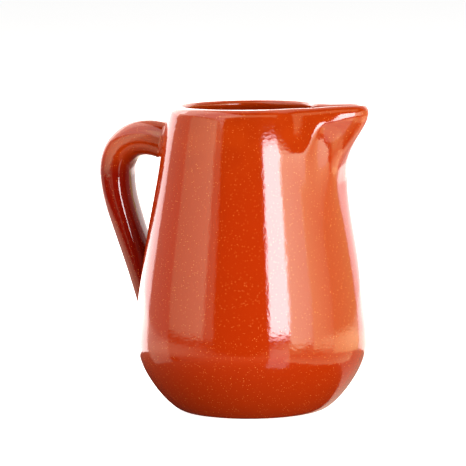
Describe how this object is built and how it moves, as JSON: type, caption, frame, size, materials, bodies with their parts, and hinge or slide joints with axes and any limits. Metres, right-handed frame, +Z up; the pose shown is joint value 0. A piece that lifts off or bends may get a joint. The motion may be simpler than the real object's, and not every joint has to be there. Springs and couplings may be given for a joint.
{
  "type": "clay jug",
  "caption": "Small glazed clay jug with a bellied body, pinched pouring lip and chunky strap handle.",
  "frame": {"origin": "centre of the flat foot, on the surface that the jug stands on", "axes": "+Z up, +X towards the pouring lip, -X towards the handle"},
  "size_m": [0.1227, 0.099, 0.1307],
  "materials": {
    "glazed_terracotta": "red clay under a clear glossy lead-free glaze"
  },
  "bodies": {
    "root": {"thrown_body": "glazed_terracotta", "strap_handle": "glazed_terracotta", "upper_slip_joint": "glazed_terracotta", "lower_slip_joint": "glazed_terracotta"}
  },
  "joints": []
}
